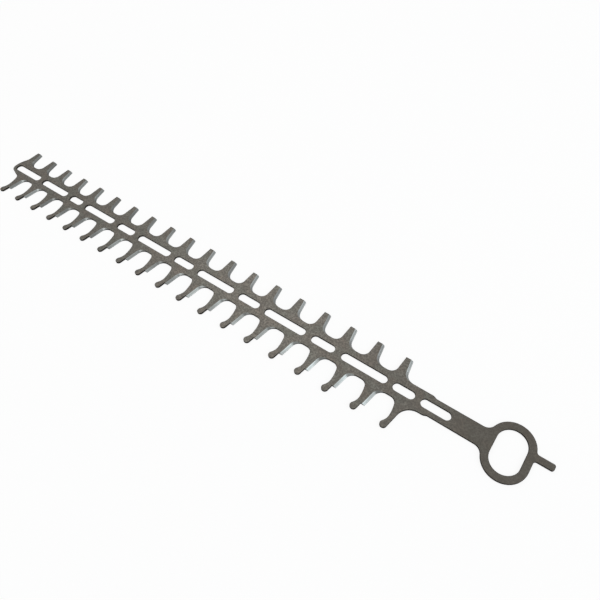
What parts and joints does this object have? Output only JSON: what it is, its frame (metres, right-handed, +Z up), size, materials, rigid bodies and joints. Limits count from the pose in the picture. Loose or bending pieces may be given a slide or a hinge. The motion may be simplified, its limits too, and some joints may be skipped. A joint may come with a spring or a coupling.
{
  "type": "hedge trimmer blade",
  "caption": "Flat double-sided hedge trimmer blade with long knobbed and short square teeth, ground bevels, guide slots down the middle and a ring-shaped drive eye with a tail pin.",
  "frame": {"origin": "centre of the drive eye, on the blade's underside", "axes": "+X along the blade from the eye to its free end, +Y to the side with the long knobbed teeth, +Z up through the sheet, out of the face that the bevels are ground into"},
  "size_m": [0.6923, 0.07, 0.002],
  "materials": {
    "steel": "dull brownish mill surface, bright ground bevels"
  },
  "bodies": {
    "root": {"blade": "steel"}
  },
  "joints": []
}
